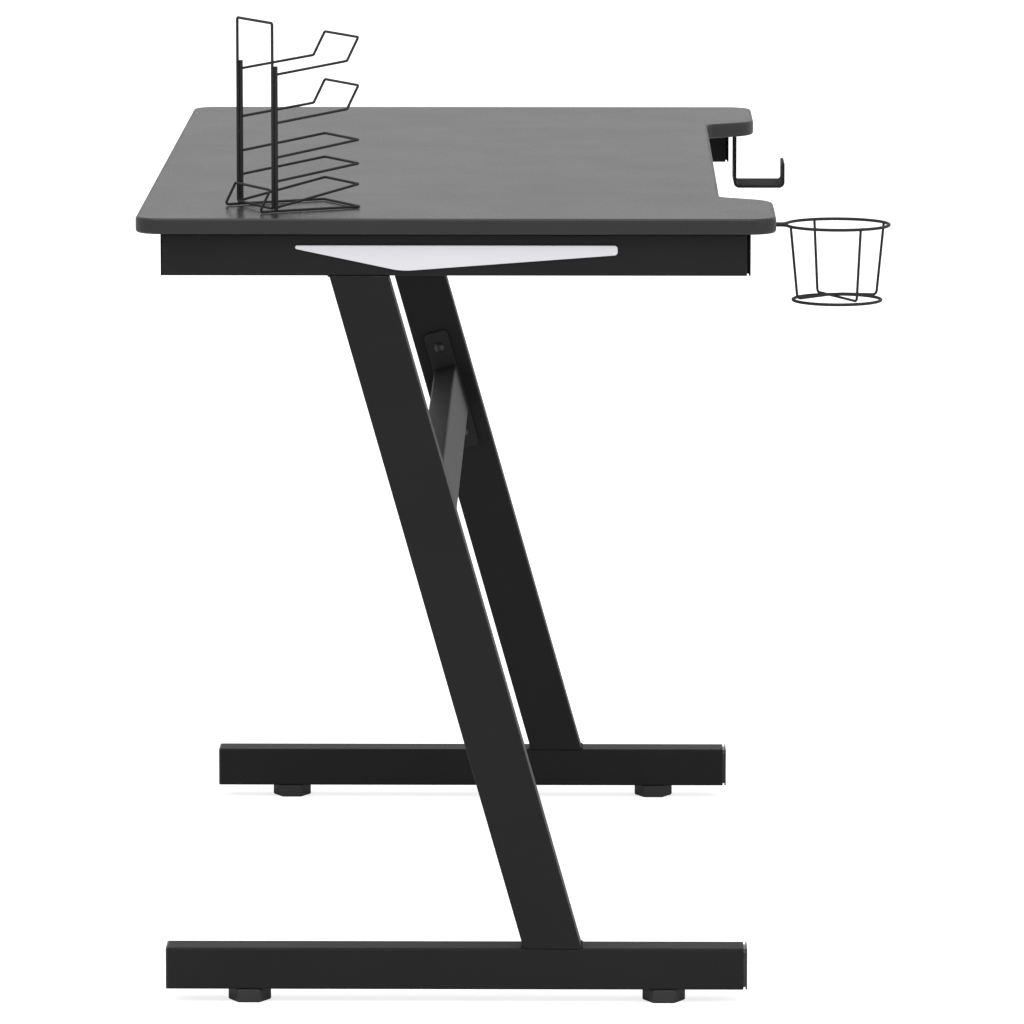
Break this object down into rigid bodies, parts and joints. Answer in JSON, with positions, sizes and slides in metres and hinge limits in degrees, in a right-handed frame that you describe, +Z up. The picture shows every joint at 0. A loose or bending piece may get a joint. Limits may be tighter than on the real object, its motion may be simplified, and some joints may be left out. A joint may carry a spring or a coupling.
{
  "type": "gaming desk",
  "caption": "Gaming desk with a cut-out front edge on two leaning steel side frames, with a wire cup holder, a headset hook and a free-standing wire rack.",
  "frame": {"origin": "on the floor, under the middle of the whole outline, cup holder and hook included", "axes": "+X to the sitter's right along the desktop's length, +Y to the rear, -Y to the sitter, +Z up"},
  "size_m": [1.1, 0.7105, 0.9298],
  "materials": {
    "laminate": "black foil with a fine grain on a chipboard core, satin",
    "band": "black edge band, matt",
    "frame_metal": "black powder coat, satin",
    "wire": "black powder coat on wire, satin",
    "black_steel": "black oxide, satin",
    "zinc_steel": "zinc plated",
    "cap_plastic": "moulded, semi-gloss",
    "glide_plastic": "moulded, matt",
    "trim_plastic": "moulded white, satin"
  },
  "bodies": {
    "desk": {"tabletop_board": "laminate", "edge_band": "band", "board_inserts": "zinc_steel", "tabletop_bolts": "zinc_steel", "top_rail_left": "frame_metal", "top_rail_right": "frame_metal", "leg_left": "frame_metal", "leg_right": "frame_metal", "bottom_rail_left": "frame_metal", "bottom_rail_right": "frame_metal", "cap_top_front_left": "cap_plastic", "cap_top_rear_left": "cap_plastic", "cap_top_front_right": "cap_plastic", "cap_top_rear_right": "cap_plastic", "cap_bottom_front_left": "cap_plastic", "cap_bottom_rear_left": "cap_plastic", "cap_bottom_front_right": "cap_plastic", "cap_bottom_rear_right": "cap_plastic", "crossbar": "frame_metal", "crossbar_plate_left": "frame_metal", "crossbar_plate_right": "frame_metal", "crossbar_bolts": "black_steel", "leg_nuts": "zinc_steel", "trim_panel_left": "trim_plastic", "trim_panel_right": "trim_plastic", "glide_nuts": "zinc_steel", "headset_hook": "frame_metal", "hook_screws": "black_steel", "cup_top_ring": "wire", "cup_bottom_ring": "wire", "cup_cradle_lower": "wire", "cup_cradle_upper": "wire", "cup_screws": "black_steel"},
    "stud_front_left": {"glide_stud_front_left": "zinc_steel"},
    "pad_front_left": {"glide_pad_front_left": "glide_plastic"},
    "stud_rear_left": {"glide_stud_rear_left": "zinc_steel"},
    "pad_rear_left": {"glide_pad_rear_left": "glide_plastic"},
    "stud_front_right": {"glide_stud_front_right": "zinc_steel"},
    "pad_front_right": {"glide_pad_front_right": "glide_plastic"},
    "stud_rear_right": {"glide_stud_rear_right": "zinc_steel"},
    "pad_rear_right": {"glide_pad_rear_right": "glide_plastic"},
    "rack": {"rack_frame": "wire", "rack_bar_left": "wire", "rack_bar_right": "wire", "rack_hook_upper": "wire", "rack_hook_lower": "wire", "rack_shelf_upper": "wire", "rack_shelf_middle": "wire", "rack_shelf_lower": "wire", "rack_base": "wire"}
  },
  "joints": [
    {"name": "glide_travel_front_left", "type": "slide", "parent": "desk", "child": "stud_front_left", "axis": [0, 0, -1], "range_m": [0, 0.008]},
    {"name": "glide_turn_front_left", "type": "hinge", "parent": "stud_front_left", "child": "pad_front_left", "pos_m": [-0.52, -0.14175, 0.006], "axis": [0, 0, -1], "range_deg": [0, 2304]},
    {"name": "glide_travel_rear_left", "type": "slide", "parent": "desk", "child": "stud_rear_left", "axis": [0, 0, -1], "range_m": [0, 0.008]},
    {"name": "glide_turn_rear_left", "type": "hinge", "parent": "stud_rear_left", "child": "pad_rear_left", "pos_m": [-0.52, 0.25225, 0.006], "axis": [0, 0, -1], "range_deg": [0, 2304]},
    {"name": "glide_travel_front_right", "type": "slide", "parent": "desk", "child": "stud_front_right", "axis": [0, 0, -1], "range_m": [0, 0.008]},
    {"name": "glide_turn_front_right", "type": "hinge", "parent": "stud_front_right", "child": "pad_front_right", "pos_m": [0.52, -0.14175, 0.006], "axis": [0, 0, -1], "range_deg": [0, 2304]},
    {"name": "glide_travel_rear_right", "type": "slide", "parent": "desk", "child": "stud_rear_right", "axis": [0, 0, -1], "range_m": [0, 0.008]},
    {"name": "glide_turn_rear_right", "type": "hinge", "parent": "stud_rear_right", "child": "pad_rear_right", "pos_m": [0.52, 0.25225, 0.006], "axis": [0, 0, -1], "range_deg": [0, 2304]},
    {"name": "rack_lift", "type": "slide", "parent": "desk", "child": "rack", "axis": [0, 0, 1], "range_m": [0, 0.2]}
  ],
  "couplings": [
    {"joint": "glide_travel_front_left", "follows": "glide_turn_front_left", "m_per_rad": 0.00019894},
    {"joint": "glide_travel_rear_left", "follows": "glide_turn_rear_left", "m_per_rad": 0.00019894},
    {"joint": "glide_travel_front_right", "follows": "glide_turn_front_right", "m_per_rad": 0.00019894},
    {"joint": "glide_travel_rear_right", "follows": "glide_turn_rear_right", "m_per_rad": 0.00019894}
  ]
}
